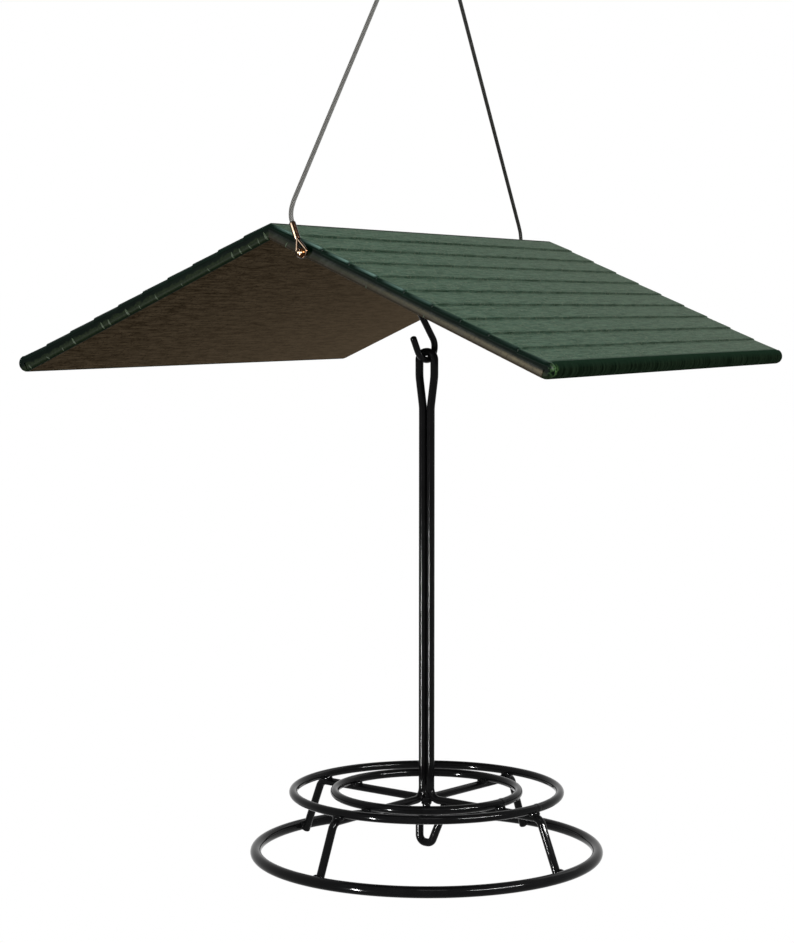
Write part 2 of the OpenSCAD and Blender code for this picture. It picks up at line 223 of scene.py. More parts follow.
boardFaceLook = {
    "along": 110.0, "across": 1000.0, "seed": 7.0, "dark": srgb(34, 25, 13), "light": srgb(77, 66, 51),
    "hair": srgb(97, 84, 66), "hairAmount": 0.42, "speck": srgb(18, 12, 5), "speckAmount": 0.8,
    "roughness": (0.7, 0.85), "specular": 0.0, "bump": (0.4, 0.0004), "far": srgb(112, 97, 78),
    "farSpan": (-190, 190, 0.0, 0.5)}
# under darkens the rounded lower edge: painted shade
boardEdgeLook = {
    "along": 240.0, "across": 260.0, "seed": 19.0, "dark": srgb(98, 92, 68), "light": srgb(140, 131, 104),
    "hair": srgb(142, 130, 110), "hairAmount": 0.4, "speck": srgb(50, 44, 28), "speckAmount": 0.5,
    "roughness": (0.5, 0.7), "specular": 0.03, "bump": (0.3, 0.0004), "moss": srgb(38, 44, 27),
    "mossSpan": (35, 175, 1.0, 0.0), "peel": 900.0, "raggedSpan": (0.3, 0.7, -0.15, 0.15),
    "green": endGreenWithPaintedShade, "greenSpan": (-5.1, -3.7), "under": srgb(44, 34, 20),
    "underSpan": (-5.2, -6.9, 0.0, 0.8), "corner": endGreenWithPaintedShade, "cornerSpan": (159.5, 160.5)}
# the bead's near-black colour is partly painted shade; top is a painted highlight on its upper rounding, and
# lit a pale painted highlight streak
beadLook = {
    "color": srgb(2, 22, 13), "wearAndPaintedHighlight": srgb(6, 32, 21), "top": srgb(44, 76, 58), "topSpan": (0.5, 0.05),
    "lit": srgb(118, 150, 140), "litSpan": (0.12, 0.4), "unlitSpan": (0.88, 0.55), "lapSpan": (0.15, 0.8),
    "lapEndSpan": (0.99, 0.88), "acrossSpan": (60, 110, 1.0, 0.1), "roughness": 0.4, "specular": 0.03,
    "bump": (0.2, 0.0003)}
bandLook = {
    "color": endGreenWithPaintedShade, "wearAndPaintedHighlight": srgb(7, 25, 13), "mossy": srgb(40, 52, 31),
    "raggedSpan": (0, 1, -0.7, 0.9), "mossSpan": (-3.9, -5.0), "lowSpan": (-8.0, -7.2, 0.2, 1.0),
    "hairSpan": (0, 1, 0.45, 1.0), "smudgeAlong": 120.0, "smudgeAcross": 520.0, "smudgeSeed": 5.0,
    "roughness": 0.5, "specular": 0.01, "bump": (0.25, 0.0004)}
coatScale = 260.0
blackCoatLook = {
    "color": srgb(19, 19, 20), "dusty": srgb(32, 32, 33), "dustShare": 0.5, "roughness": (0.09, 0.095),
    "specular": 0.045, "peel": 380.0, "bump": (0.0015, 0.0004)}
blackFittingLook = {
    "color": srgb(16, 16, 17), "dusty": srgb(34, 34, 35), "dustShare": 0.5, "roughness": (0.34, 0.5),
    "specular": 0.15, "peel": 700.0, "bump": (0.2, 0.0004)}
# brass and screws: the dark colour is a painted dark reflection and the pale one a painted glint
brassLook = {
    "paintedGlint": (0.6, 0.45, 0.32, 1), "paintedDarkReflection": (0.014, 0.007, 0.004, 1), "facing": (0.95, 0.985),
    "roughness": (0.14, 0.3), "metallic": 1, "peel": 900.0, "bump": (0.2, 0.0002)}
screwLook = {
    "paintedGlint": (0.85, 0.63, 0.42, 1), "paintedDarkReflection": (0.03, 0.012, 0.004, 1), "facing": (0.94, 0.99),
    "roughness": (0.16, 0.3), "metallic": 1, "peel": 900.0, "bump": (0.2, 0.0002)}
# groove darkens the cable between its strands: painted shade
cableLook = {
    "crown": srgb(160, 159, 154), "groove": srgb(70, 69, 65), "strands": 7, "lay": 11.0,
    "crownSpan": (-0.8, 0.9), "roughness": 0.45, "specular": 0.12, "bump": (0.8, 0.0003),
    "back": (0.12, 0.12, 0.1, 1), "backSpan": (0.255, 0.335)}
chipLook = {
    "color": srgb(84, 120, 70), "edge": srgb(34, 56, 34), "at": (166.9, -190.3, -283.8),
    "reachSpan": (4.0, 3.3), "noise": (420, 4), "raggedSpan": (0.3, 0.7, -2.6, 2.6),
    "mottleSpan": (0.35, 0.6)}
nickLook = {
    "color": srgb(84, 100, 74), "edge": srgb(50, 64, 45), "peel": 1200.0, "roughness": 0.6,
    "specular": 0.1, "bump": (0.5, 0.0003)}


def makeGrainGroup():
    # streaks that run along Y, with finer hairs and scattered specks
    group, graph, given = startGroup("streakGrain", Along=60.0, Across=900.0, Seed=0.0)
    spot = graph.spot()
    stretch = graph.make("CombineXYZ", {0: given["Across"], 1: given["Along"], 2: given["Across"]})[0]
    scaled = graph.make("VectorMath", {0: spot, 1: stretch}, "MULTIPLY")[0]
    shifted = graph.make("VectorMath", {0: scaled, 1: given["Seed"]}, "ADD")[0]
    streaks, hairs, specks = [graph.spread(graph.noise(at, *grainLook[layer]), *grainLook[layer + "Span"])
                              for at, layer in ((shifted, "streaks"), (shifted, "hairs"), (spot, "specks"))]
    height = graph.add(graph.times(streaks, grainLook["streaksShare"]),
                       graph.times(hairs, 1 - grainLook["streaksShare"]))
    return endGroup(group, graph, Streaks=streaks, Hairs=hairs, Specks=specks, Height=height)


def makePeelGroup():
    # the low ripple of a sprayed or powdered coat, and the dust that dulls its gloss
    group, graph, given = startGroup("coatPeel", Scale=420.0)
    ripple = graph.noise(graph.spot(), given["Scale"], peelLook["rippleDetail"])
    haze = graph.noise(graph.spot(), *peelLook["haze"])
    return endGroup(group, graph, Height=ripple, Dust=graph.spread(haze, *peelLook["hazeSpan"]))


def makePanelPlaceGroup():
    # V is the height over either panel's course line and Across the distance from the ridge, both in
    # millimetres; Lap runs from 0 at the top of a course to 1 at its lower end
    group, graph, _ = startGroup("panelPlace")
    across = graph.times(graph.math("ABSOLUTE", graph.axis("X")), 1 / mm)
    down = graph.math("SUBTRACT", graph.times(graph.axis("Z"), 1 / mm), roof["ridgeZ"])
    rise = graph.add(graph.times(across, math.sin(slope)), graph.times(down, math.cos(slope)))
    fall = graph.math("SUBTRACT", graph.times(across, math.cos(slope)), graph.times(down, math.sin(slope)))
    lap = graph.math("FRACT", graph.times(fall, roof["courses"] / noseU))
    return endGroup(group, graph, V=rise, Across=across, Lap=lap)


def makeChipMaskGroup():
    # a ragged patch round the front right eave corner, where the green is knocked through
    group, graph, _ = startGroup("chipMask")
    away = graph.make("VectorMath", {0: graph.spot(), 1: point(*chipLook["at"])}, "DISTANCE")["Value"]
    noise = graph.noise(graph.spot(), *chipLook["noise"])
    near = graph.add(graph.times(away, 1 / mm), graph.spread(noise, *chipLook["raggedSpan"]))
    return endGroup(group, graph, Mask=graph.spread(near, *chipLook["reachSpan"]),
                    Mottle=graph.spread(noise, *chipLook["mottleSpan"]))


streakGrain = makeGrainGroup()
coatPeel = makePeelGroup()
panelPlaceGroup = makePanelPlaceGroup()
chipMaskGroup = makeChipMaskGroup()


def chipped(graph, color):
    chip = graph.place(chipMaskGroup)
    green = graph.blend(chip["Mottle"], chipLook["edge"], chipLook["color"])
    return graph.blend(chip["Mask"], color, green)


def makeGrainMaterial(name, look, shade):
    # shade makes the surface's own colour from the grain's
    material, graph = newMaterial(name)
    grain = graph.place(streakGrain, Along=look["along"], Across=look["across"], Seed=look["seed"])
    color = graph.blend(grain["Streaks"], look["dark"], look["light"])
    color = graph.blend(graph.times(grain["Hairs"], look["hairAmount"]), color, look["hair"])
    color = graph.blend(graph.times(grain["Specks"], look["speckAmount"]), color, look["speck"])
    roughness = graph.spread(grain["Height"], 0, 1, *look["roughness"])
    graph.surface(shade(graph, look, color), roughness, grain["Height"], look)
    return material


def shadeTop(graph, look, color):
    # darker along the ridge; darker toward the eave as painted shade, and greyer toward the back as a
    # painted sheen
    across = graph.place(panelPlaceGroup)["Across"]
    # painted sheen: greyer toward the back
    color = graph.tint(color, graph.backward(), look, "far")
    color = graph.tint(color, across, look, "ridge")
    # painted shade toward the eave
    return graph.tint(color, across, look, "eave")


def shadeNose(graph, look, color):
    # painted shade: darkens round the nose, down to a brown lower line
    height = graph.place(panelPlaceGroup)["V"]
    color = graph.tint(color, height, look, "upper")
    return chipped(graph, graph.tint(color, height, look, "low"))


def shadeBoardFace(graph, look, color):
    # a little paler toward the back
    return graph.tint(color, graph.backward(), look, "far")


def shadeBoardEdge(graph, look, color):
    # mossy near the ridge and clear toward the eave, with a ragged green top edge, and darker toward its
    # rounded lower edge as painted shade
    place = graph.place(panelPlaceGroup)
    peel = graph.place(coatPeel, Scale=look["peel"])
    edge = graph.add(place["V"], graph.spread(peel["Height"], *look["raggedSpan"]))
    color = graph.tint(color, place["Across"], look, "moss")
    color = graph.tint(color, edge, look, "green")
    # painted shade on the rounded lower edge
    color = graph.tint(color, place["V"], look, "under")
    return graph.tint(color, place["Across"], look, "corner")


def makeBeadMaterial(name, wearAndPaintedHighlight):
    # the round edge along the top of a roof end is near-black green, partly painted shade, and lighter on
    # its upper rounding as a painted highlight;
    # with the flag set, a pale painted highlight streak grows toward the lower end of each course, most near
    # the ridge
    material, graph = newMaterial(name)
    look = beadLook
    peel = graph.place(coatPeel, Scale=coatScale)
    place = graph.place(panelPlaceGroup)
    facing = graph.facingRidge()
    color = graph.blend(peel["Dust"], look["color"], look["wearAndPaintedHighlight"])
    # painted highlight: lighter where the bead faces up
    color = graph.tint(color, facing, look, "top")
    # painted highlight: a pale streak along each course
    if wearAndPaintedHighlight:
        streak = graph.times(graph.spread(facing, *look["litSpan"]),
                             graph.spread(facing, *look["unlitSpan"]))
        lap = graph.times(graph.spread(place["Lap"], *look["lapSpan"]),
                          graph.spread(place["Across"], *look["acrossSpan"]))
        lap = graph.times(lap, graph.spread(place["Lap"], *look["lapEndSpan"]))
        color = graph.blend(graph.times(streak, lap), color, look["lit"])
    graph.surface(chipped(graph, color), look["roughness"], peel["Height"], look)
    return material


def makeBandMaterial():
    # near-black green, partly the dark end skin and partly painted shade, that turns mossy lower down, in
    # upright smudges
    material, graph = newMaterial("darkGreenBand")
    look = bandLook
    peel = graph.place(coatPeel, Scale=coatScale)
    height = graph.place(panelPlaceGroup)["V"]
    smudge = graph.place(streakGrain, Along=look["smudgeAlong"], Across=look["smudgeAcross"],
                         Seed=look["smudgeSeed"])
    color = graph.blend(peel["Dust"], look["color"], look["wearAndPaintedHighlight"])
    ragged = graph.add(height, graph.spread(smudge["Streaks"], *look["raggedSpan"]))
    mossy = graph.times(graph.spread(ragged, *look["mossSpan"]), graph.spread(height, *look["lowSpan"]))
    mossy = graph.times(mossy, graph.spread(smudge["Hairs"], *look["hairSpan"]))
    color = graph.blend(mossy, color, look["mossy"])
    graph.surface(chipped(graph, color), look["roughness"], peel["Height"], look)
    return material


def makeCoatMaterial(name, look):
    material, graph = newMaterial(name)
    peel = graph.place(coatPeel, Scale=look["peel"])
    color = graph.blend(graph.times(peel["Dust"], look["dustShare"]), look["color"], look["dusty"])
    graph.surface(color, graph.spread(peel["Dust"], 0, 1, *look["roughness"]), peel["Height"], look)
    return material


def makeBrassMaterial(name, look):
    # dark all over as a painted dark reflection, with a painted glint where it faces along the ridge
    material, graph = newMaterial(name)
    peel = graph.place(coatPeel, Scale=look["peel"])
    color = graph.blend(graph.spread(graph.facingRidge(), *look["facing"]), look["paintedDarkReflection"], look["paintedGlint"])
    graph.surface(color, graph.spread(peel["Dust"], 0, 1, *look["roughness"]), peel["Height"], look)
    return material


def makeCableMaterial():
    # strands laid in a helix: the map's U runs along the cable in metres and V once round it
    material, graph = newMaterial("coatedCable")
    place = graph.nodes.new("ShaderNodeUVMap")
    place.uv_map = "cableRun"
    run = graph.make("SeparateXYZ", {0: place.outputs[0]})
    lay = graph.times(run["X"], 1 / (cableLook["lay"] * mm))
    turn = graph.times(graph.add(run["Y"], lay), 2 * math.pi * cableLook["strands"])
    crown = graph.spread(graph.math("SINE", turn), *cableLook["crownSpan"])
    # painted shade: darker in the grooves between strands
    color = graph.blend(crown, cableLook["groove"], cableLook["crown"])
    # painted shade: the half behind the roof is darker
    paintedBackShade = graph.spread(run["X"], *cableLook["backSpan"])
    color = graph.blend(paintedBackShade, color, cableLook["back"], "MULTIPLY")
    graph.surface(color, cableLook["roughness"], crown, cableLook)
    return material


def makeNickMaterial():
    material, graph = newMaterial("paleNick")
    peel = graph.place(coatPeel, Scale=nickLook["peel"])
    color = graph.blend(peel["Height"], nickLook["edge"], nickLook["color"])
    graph.surface(color, nickLook["roughness"], peel["Height"], nickLook)
    return material


coverTop = makeGrainMaterial("brushedGreenTop", coverTopLook, shadeTop)
coverNose = makeGrainMaterial("brushedGreenNoseShaded", coverNoseLook, shadeNose)
highlightedBead = makeBeadMaterial("greenBeadWithPaintedHighlight", True)
darkBead = makeBeadMaterial("darkGreenBead", False)
greenBand = makeBandMaterial()
boardFace = makeGrainMaterial("boardFaceBrown", boardFaceLook, shadeBoardFace)
boardEdge = makeGrainMaterial("boardEdgeTan", boardEdgeLook, shadeBoardEdge)
blackCoat = makeCoatMaterial("blackPowderCoat", blackCoatLook)
blackFitting = makeCoatMaterial("blackFitting", blackFittingLook)
brass = makeBrassMaterial("crimpedBrass", brassLook)
screwBrass = makeBrassMaterial("screwBrass", screwLook)
cableCoat = makeCableMaterial()
paleNick = makeNickMaterial()
print("materials ready")


# mesh helpers

def vertsIn(made):
    return [part for part in made["geom"] if isinstance(part, bmesh.types.BMVert)]


def faceIn(made):
    return [part for part in made["geom"] if isinstance(part, bmesh.types.BMFace)][0]


def edgesOf(verts):
    return list({edge for vert in verts for edge in vert.link_edges})


def addPiece(name, bm, body, materials, replaced=(), sharp=35):
    bmesh.ops.remove_doubles(bm, verts=bm.verts[:], dist=0.002 * mm)
    bmesh.ops.recalc_face_normals(bm, faces=bm.faces[:])
    mesh = bpy.data.meshes.new(name)
    bm.to_mesh(mesh)
    bm.free()
    for material in materials:
        mesh.materials.append(material)
    mesh.shade_smooth()
    mesh.set_sharp_from_angle(angle=math.radians(sharp))
    piece = bpy.data.objects.new(name, mesh)
    bpy.context.collection.objects.link(piece)
    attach(piece, body)
    if replaced:
        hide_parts(*replaced)
    return piece


def turnedPoint(degrees, radius, z):
    return point(radius * math.cos(math.radians(degrees)), radius * math.sin(math.radians(degrees)), z)


def turnOf(spot):
    return math.atan2(spot.y, spot.x)


def turnBy(degrees, axis="Z"):
    return Matrix.Rotation(math.radians(degrees), 4, axis)


def moved(x, y, z):
    return Matrix.Translation(point(x, y, z))


def move(bm, matrix):
    bmesh.ops.transform(bm, verts=bm.verts[:], matrix=matrix)


def arcCorners(centre, radius, start, end, count, up):
    # corners of the straight-sided path that a bend follows round an arc, from +X toward up
    half = math.radians(end - start) / count / 2
    turns = [math.radians(start + (k + 0.5) * (end - start) / count) for k in range(count)]
    return [centre + radius / math.cos(half) * (math.cos(turn) * Vector((1, 0, 0)) + math.sin(turn) * up)
            for turn in turns]


def bentPath(corners, radii, stepDegrees):
    # straights with a true bend at each inner corner
    path = [corners[0]]
    for index in range(1, len(corners) - 1):
        inWay = (corners[index] - corners[index - 1]).normalized()
        outWay = (corners[index + 1] - corners[index]).normalized()
        turn = inWay.angle(outWay)
        radius = radii[index - 1]
        begin = corners[index] - inWay * radius * math.tan(turn / 2)
        inward = (outWay - inWay * outWay.dot(inWay)).normalized()
        centre = begin + inward * radius
        steps = max(2, round(math.degrees(turn) / stepDegrees))
        for k in range(steps + 1):
            angle = turn * k / steps
            path.append(centre - inward * radius * math.cos(angle) + inWay * radius * math.sin(angle))
    return path + [corners[-1]]


def newRing(bm, edges):
    made = bmesh.ops.extrude_edge_only(bm, edges=edges)
    verts = vertsIn(made)
    own = set(verts)
    return verts, [edge for edge in edgesOf(verts) if set(edge.verts) <= own]


def closeTip(bm, edges, centre, way, radius, tip):
    # each step of the tip is (how far along, how wide), as shares of the radius
    for ahead, wide in tip:
        verts, edges = newRing(bm, edges)
        spot = centre + way * radius * ahead
        now = sum((v.co for v in verts), Vector()) / len(verts)
        bmesh.ops.translate(bm, verts=verts, vec=spot - now)
        size = max((v.co - spot).length for v in verts)
        bmesh.ops.scale(bm, verts=verts, vec=Vector((1, 1, 1)) * (radius * wide / size),
                        space=Matrix.Translation(-spot))
    bmesh.ops.contextual_create(bm, geom=edges)


cutTip = [(0.0, 1.0), (0.1, 0.98), (0.19, 0.9)]
roundTip = [(0.0, 1.0), (0.28, 0.95), (0.5, 0.8), (0.66, 0.55)]


def sweepWire(bm, path, radius, sides=24, startTip=cutTip, endTip=cutTip, radii=None):
    # the path is drawn in at both ends, so that the tips end where it did
    path = list(path)
    path[0] = path[0] + (path[1] - path[0]).normalized() * radius * startTip[-1][0]
    path[-1] = path[-1] + (path[-2] - path[-1]).normalized() * radius * endTip[-1][0]
    ways = [(b - a).normalized() for a, b in zip(path, path[1:])]
    facings = [ways[0]] + [(a + b).normalized() for a, b in zip(ways, ways[1:])] + [ways[-1]]
    radii = radii or [radius] * len(path)
    verts = bmesh.ops.create_circle(bm, cap_ends=False, segments=sides, radius=radii[0])["verts"]
    firstEdges = edges = edgesOf(verts)
    side = ways[0].orthogonal().normalized()
    aim = Matrix((side, ways[0].cross(side), ways[0])).transposed().to_4x4()
    bmesh.ops.transform(bm, verts=verts, matrix=Matrix.Translation(path[0]) @ aim)
    for index in range(1, len(path)):
        verts, edges = newRing(bm, edges)
        turn = facings[index - 1].rotation_difference(facings[index]).to_matrix().to_4x4()
        size = Matrix.Scale(radii[index] / radii[index - 1], 4)
        bmesh.ops.transform(bm, verts=verts, matrix=Matrix.Translation(path[index]) @ turn @ size
                            @ Matrix.Translation(-path[index - 1]))
    closeTip(bm, firstEdges, path[0], -ways[0], radii[0], startTip)
    closeTip(bm, edges, path[-1], ways[-1], radii[-1], endTip)


def spinWire(bm, radius, wire, sides, steps):
    # a ring of round wire, flat round the origin
    verts = bmesh.ops.create_circle(bm, segments=sides, radius=wire / 2 * mm)["verts"]
    bmesh.ops.rotate(bm, verts=verts, cent=(0, 0, 0), matrix=Matrix.Rotation(math.pi / 2, 3, "X"))
    bmesh.ops.translate(bm, verts=verts, vec=(radius * mm, 0, 0))
    bmesh.ops.spin(bm, geom=verts + edgesOf(verts), cent=(0, 0, 0), axis=(0, 0, 1), angle=math.tau,
                   steps=steps, use_merge=True)


halfTurn = turnBy(180)


# cable

# the back strand is drawn before its half turn
cable = {"diameter": 2.5, "sides": 16, "smoothSteps": 6, "straightFrom": 50,
         "front": [(18.1, -196.7, -212), (17.1, -196.7, -209.4), (16.3, -196.7, -207),
                   (15.6, -196.6, -203.9), (15.2, -195.6, -200.6), (14.8, -193.4, -197.4),
                   (14.3, -190.4, -194.2), (7.6, -101, -100.4), (0.8, -11.4, -6.4), (0.5, -8.4, -3.2),
                   (0.3, -5.8, -0.9), (0.1, -3, 0.6)],
         "back": [(23.2, -196.7, -211.4), (23.5, -196.7, -208.8), (23.75, -196.7, -206.2),
                  (23.9, -196.5, -203.4), (23.8, -195.4, -200.4), (23.6, -193.2, -197.3),
                  (23.2, -190.4, -194.4), (12, -101, -100.5), (0.8, -11.4, -6.4), (0.5, -8.4, -3.2),
                  (0.3, -5.8, -0.9), (0.1, -3, 0.6)],
         "top": (0, 0, 1.1)}


def smoothRoute(points, steps):
    # a rounded line through the points, whose long straights stay straight
    route = []
    last = len(points) - 1
    for index in range(last):
        start, end = points[index], points[index + 1]
        span = (end - start).length
        leave = arrive = end - start
        straight = span > cable["straightFrom"] * mm
        if index > 0 and not straight:
            leave = (end - points[index - 1]).normalized() * span
        if index + 2 <= last and not straight:
            arrive = (points[index + 2] - start).normalized() * span
        count = steps * 3 if straight else steps
        for k in range(count):
            t = k / count
            route.append((2 * t ** 3 - 3 * t ** 2 + 1) * start + (t ** 3 - 2 * t ** 2 + t) * leave
                         + (3 * t ** 2 - 2 * t ** 3) * end + (t ** 3 - t ** 2) * arrive)
    return route + [points[-1]]


def mapCable(bm, route, lengths):
    # the map follows the cable: nearest point of the route for U, and the side of it for V
    layer = bm.loops.layers.uv.new("cableRun")
    runOf, sideOf = {}, {}
    for vert in bm.verts:
        nearest = min(range(len(route)), key=lambda i: (route[i] - vert.co).length_squared)
        way = (route[min(nearest + 1, len(route) - 1)] - route[max(nearest - 1, 0)]).normalized()
        side = (Vector((1, 0, 0)) - way * way.x).normalized()
        offset = vert.co - route[nearest]
        runOf[vert] = lengths[nearest] + offset.dot(way)
        sideOf[vert] = math.atan2(offset.dot(way.cross(side)), offset.dot(side)) / (2 * math.pi)
    for face in bm.faces:
        base = sideOf[face.loops[0].vert]
        for loop in face.loops:
            value = sideOf[loop.vert]
            loop[layer].uv = (runOf[loop.vert], value - round(value - base))


def makeCable():
    front = [point(*p) for p in cable["front"]]
    back = [halfTurn @ point(*p) for p in reversed(cable["back"])]
    route = smoothRoute(front + [point(*cable["top"])] + back, cable["smoothSteps"])
    lengths = [0.0]
    for a, b in zip(route, route[1:]):
        lengths.append(lengths[-1] + (b - a).length)
    bm = bmesh.new()
    sweepWire(bm, route, cable["diameter"] / 2 * mm, cable["sides"])
    mapCable(bm, route, lengths)
    piece = addPiece("hangerCable", bm, "hanger", [cableCoat], ("hanger_cable",), sharp=60)
    return piece, route, lengths[-1]


hangerCable, cableRoute, cableLength = makeCable()
print("cable made,", round(cableLength, 4), "m long")


# cable ends

cableEnd = {
    "screwX": 22, "eyeY": -196.7, "eyeZ": -222.79, "wire": 1.6, "bore": 4.2, "reach": 7, "apexOver": 0.6,
    "tailOver": 0.5, "frontLean": 20, "backLean": -6, "ferruleD": 3.6, "ferruleLength": 9.8,
    "ferruleBore": 2.6}
# how wide the crimped tube is at shares of its length
ferruleShape = [(0.0, 0.86), (0.03, 0.97), (0.08, 1.0), (0.3, 1.0), (0.34, 0.985), (0.38, 1.0), (0.62, 1.0),
                (0.66, 0.985), (0.7, 1.0), (0.93, 1.0), (0.97, 0.97), (1.0, 0.88)]
# bends are rolled a touch inside their corners, so that the straights between them keep some length
bendShare = 0.98


def makeEye(name, place):
    radius = (cableEnd["bore"] + cableEnd["wire"]) / 2
    apex = cableEnd["reach"] + cableEnd["apexOver"]
    half = math.degrees(math.asin(radius / apex))
    tail = cableEnd["reach"] + cableEnd["tailOver"]
    tailX = (apex - tail) * math.tan(math.radians(half))
    bends = arcCorners(Vector(), radius, half, -180 - half, 3, Vector((0, 1, 0)))
    corners = [Vector((tailX, tail, 0))] + bends + [Vector((-tailX, tail, 0))]
    path = bentPath([c * mm for c in corners], [radius * bendShare * mm] * len(bends), 10)
    bm = bmesh.new()
    sweepWire(bm, [place @ p for p in path], cableEnd["wire"] / 2 * mm, 18)
    addPiece("cableEye" + name, bm, "hanger", [brass], ("cable_eye_" + name.lower(),))


def makeFerrule(name, place):
    bore, outer, length = (cableEnd[key] for key in ("ferruleBore", "ferruleD", "ferruleLength"))
    profile = [(0.0, bore)] + [(along, outer * wide) for along, wide in ferruleShape] + [(1.0, bore)]
    bm = bmesh.new()
    verts = [bm.verts.new(point(wide / 2, 0, along * length)) for along, wide in profile]
    edges = [bm.edges.new(pair) for pair in zip(verts, verts[1:] + verts[:1])]
    bmesh.ops.spin(bm, geom=verts + edges, cent=(0, 0, 0), axis=(0, 0, 1), angle=math.tau, steps=28,
                   use_merge=True)
    move(bm, place @ moved(0, cableEnd["reach"], 0) @ turnBy(-90, "X"))
    addPiece("ferrule" + name, bm, "hanger", [brass], ("ferrule_" + name.lower(),), sharp=50)


def makeCableEnd(name, turn, lean):
    # in place, local y runs up the ferrule and z toward the front
    place = (turn @ moved(cableEnd["screwX"], cableEnd["eyeY"], cableEnd["eyeZ"])
             @ turnBy(90, "X") @ turnBy(lean))
    makeEye(name, place)
    makeFerrule(name, place)


makeCableEnd("Front", Matrix(), cableEnd["frontLean"])
makeCableEnd("Back", halfTurn, cableEnd["backLean"])
print("cable ends made")


# roof

def onPanel(u, v, y=0.0):
    # u runs down the slope from the ridge and v stands square to it
    return point(u * math.cos(slope) + v * math.sin(slope), y,
                 roof["ridgeZ"] - u * math.sin(slope) + v * math.cos(slope))


def uAt(x, v):
    return (x - v * math.sin(slope)) / math.cos(slope)


def growEnd(bm, face, outline, radius, way):
    # grows the end outward in rings: first the laps soften, then the end draws in like a quarter round
    start = roof["length"] / 2 - radius
    stops = [(0, 0, start - roof["softEnd"])]
    for k in range(1, roof["softSteps"] + 1):
        t = k / roof["softSteps"]
        stops.append((0, 3 * t ** 2 - 2 * t ** 3, start - roof["softEnd"] * (1 - t)))
    for k in range(1, roof["roundSteps"] + 1):
        turn = math.radians(90 * k / roof["roundSteps"])
        stops.append((1 - math.cos(turn), 1, start + radius * math.sin(turn)))
    homes = [[onPanel(u + du * drawn, v + dv * drawn + lift * soft, way * y)
              for u, v, du, dv, lift in outline] for drawn, soft, y in stops]
    for now, new in zip(homes, homes[1:]):
        grown = faceIn(bmesh.ops.extrude_face_region(bm, geom=[face]))
        bmesh.ops.delete(bm, geom=[face], context="FACES_ONLY")
        face = grown
        for vert in face.verts:
            nearest = min(range(len(now)), key=lambda i: (now[i] - vert.co).length_squared)
            vert.co = new[nearest]


def longEdges(bm, span):
    return [e for e in bm.edges if abs(e.verts[0].co.y - e.verts[1].co.y) > span]


def extrudedPanel(outline, endRound):
    bm = bmesh.new()
    y = roof["length"] / 2 - endRound - roof["softEnd"]
    front = bm.faces.new([bm.verts.new(onPanel(u, v, -y)) for u, v, _, _, _ in outline])
    back = faceIn(bmesh.ops.extrude_face_region(bm, geom=[front]))
    bmesh.ops.translate(bm, verts=back.verts[:], vec=(0, 2 * y * mm, 0))
    bmesh.ops.subdivide_edges(bm, edges=longEdges(bm, y * mm), cuts=roof["pieces"], use_grid_fill=False)
    growEnd(bm, front, outline, endRound, -1)
    growEnd(bm, back, outline, endRound, 1)
    bm.normal_update()
    return bm


def atRidge(draw):
    # a draw-in straight up or down, which stays on the mitre
    return -draw * math.sin(slope), draw * math.cos(slope)


def coverOutline():
    # each point: u, v, how far it draws in at the rounded end, and how far a lap softens before it
    course = noseU / roof["courses"]
    lip, draw, top = roof["lipRound"], roof["endDraw"], roof["lap"]
    soft = roof["lap"] * roof["softShare"]
    points = [(0.0, 0.0, *atRidge(-draw), 0)]
    for k in range(1, roof["courses"]):
        u = k * course
        points += [(u - lip, top * (1 - lip / course), 0, -draw, -soft),
                   (u - lip * 0.3, top - lip * 0.3, 0, -draw, -soft),
                   (u, top - lip, 0, -draw, -soft * 0.8),
                   (u + 0.05, lip * 0.6, 0, -draw, soft * 0.4),
                   (u + lip * 0.7, 0.02, 0, -draw, soft * 0.4)]
    points += [(noseU, top, 0, -draw, -soft * 0.5)]
    for turn in range(84, -91, -6):
        out, up = math.cos(math.radians(turn)), math.sin(math.radians(turn))
        points.append((noseU + noseRadius * out, underV + noseRadius * (1 + up), -draw * out, -draw * up, 0))
    points += [(noseU, -roof["cover"], 0, 0, 0), (uAt(0, -roof["cover"]), -roof["cover"], 0, 0, 0)]
    return points


def boardOutline():
    draw, top = roof["boardRound"], -roof["cover"]
    return [(uAt(0, top), top, 0, 0, 0), (noseU - 0.05, top, -draw * 0.4, 0, 0),
            (noseU - 0.05, underV + 0.1, -draw * 0.4, draw, 0), (noseU - 0.4, underV, -draw * 0.4, draw, 0),
            (uAt(0, underV), underV, *atRidge(draw), 0)]


def panelPlace(spot):
    # how far a spot lies down the slope and above the course line, in millimetres
    away = spot - onPanel(0, 0)
    return (away.dot(Vector((math.cos(slope), 0, -math.sin(slope)))) / mm,
            away.dot(Vector((math.sin(slope), 0, math.cos(slope)))) / mm)


def isEnd(spot, endRound):
    return abs(spot.y) > (roof["length"] / 2 - endRound * 1.02) * mm


def makeCover(name, turn, node):
    bm = extrudedPanel(coverOutline(), roof["endRound"])
    for face in bm.faces:
        centre = face.calc_center_median()
        u, v = panelPlace(centre)
        if isEnd(centre, roof["endRound"]):
            bead = 1 if centre.y < 0 else 2
            face.material_index = bead if v > -1.9 else 3
        elif u > noseU + 0.2:
            face.material_index = 4
    move(bm, turn)
    addPiece(name, bm, "roof", [coverTop, highlightedBead, darkBead, greenBand, coverNose], (node,),
             sharp=32)


def makeBoard(name, turn, node):
    bm = extrudedPanel(boardOutline(), roof["boardRound"])
    for face in bm.faces:
        centre = face.calc_center_median()
        if isEnd(centre, roof["boardRound"]):
            face.material_index = 1 if centre.y < 0 else 2
    move(bm, turn)
    addPiece(name, bm, "roof", [boardFace, boardEdge, greenBand], (node,), sharp=32)


makeCover("coverRight", Matrix(), "cover_right")
makeCover("coverLeft", halfTurn, "cover_left")
makeBoard("boardRight", Matrix(), "board_right")
makeBoard("boardLeft", halfTurn, "board_left")
print("roof made")


# pale nicks where the green edge is knocked through

